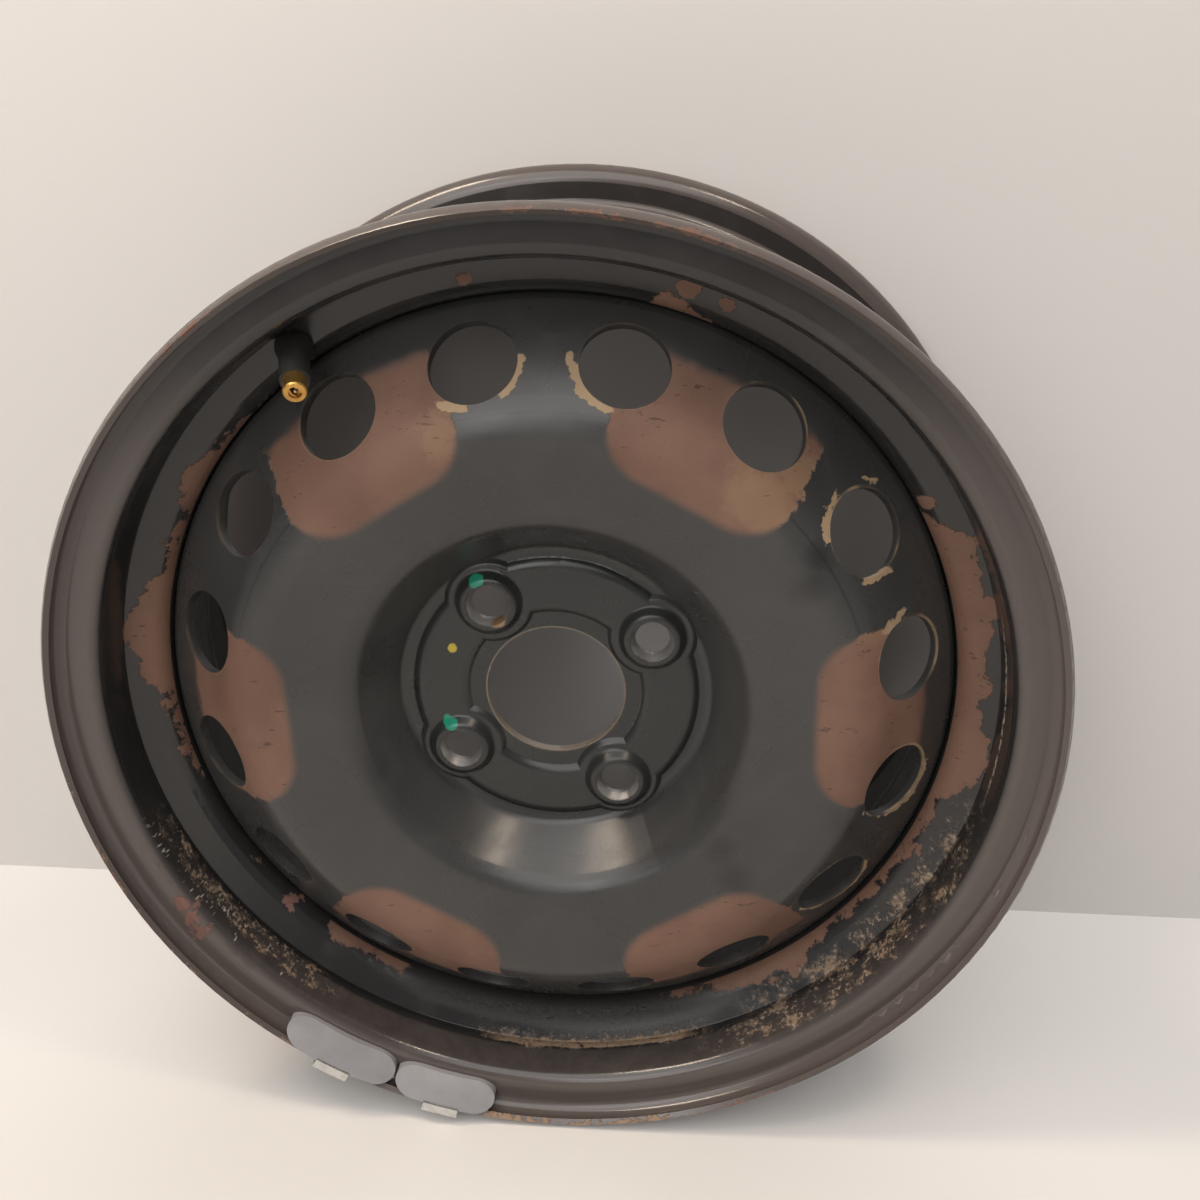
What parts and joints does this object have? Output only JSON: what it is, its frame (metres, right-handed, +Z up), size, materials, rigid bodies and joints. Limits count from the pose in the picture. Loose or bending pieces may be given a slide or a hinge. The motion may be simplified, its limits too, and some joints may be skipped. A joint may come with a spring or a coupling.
{
  "type": "steel wheel",
  "caption": "Pressed steel car wheel: drop-centre rim with a welded vented disc, hub bore, conical bolt seats, snap-in tyre valve and clip-on balance weights.",
  "frame": {"origin": "centre of the wheel: the spin axis at the rim's middle plane", "axes": "+Y along the spin axis from the outer face towards the car, +Z up with the wheel upright, +X to the right seen from outside"},
  "size_m": [0.4156, 0.1802, 0.4154],
  "materials": {
    "rim_coat": "satin black coat, rust-flecked",
    "disc_coat": "satin black coat with brown rust patches",
    "weld_coat": "coated weld bead",
    "valve_rubber": "moulded, dull",
    "valve_brass": "dull turned brass",
    "core_seal": "plain",
    "pin_steel": "plated",
    "weight_coat": "grey coated zinc",
    "clip_steel": "bright spring steel"
  },
  "bodies": {
    "wheel": {"rim": "rim_coat", "wheel_disc": "disc_coat", "weld_beads": "weld_coat", "valve_body": "valve_rubber", "valve_stem": "valve_brass", "core_body": "valve_brass", "core_seal": "core_seal", "core_spring": "pin_steel", "balance_weight_1": "weight_coat", "weight_clip_1": "clip_steel", "balance_weight_2": "weight_coat", "weight_clip_2": "clip_steel"},
    "valve_pin": {"core_pin": "pin_steel", "core_washer": "valve_rubber"}
  },
  "joints": [
    {"name": "valve_pin_slide", "type": "slide", "parent": "wheel", "child": "valve_pin", "axis": [-0.2491, 0.8914, 0.3787], "range_m": [0, 0.0015], "stiffness_N_per_m": 800, "springref_m": -0.001, "deforming": ["core_spring"]}
  ]
}
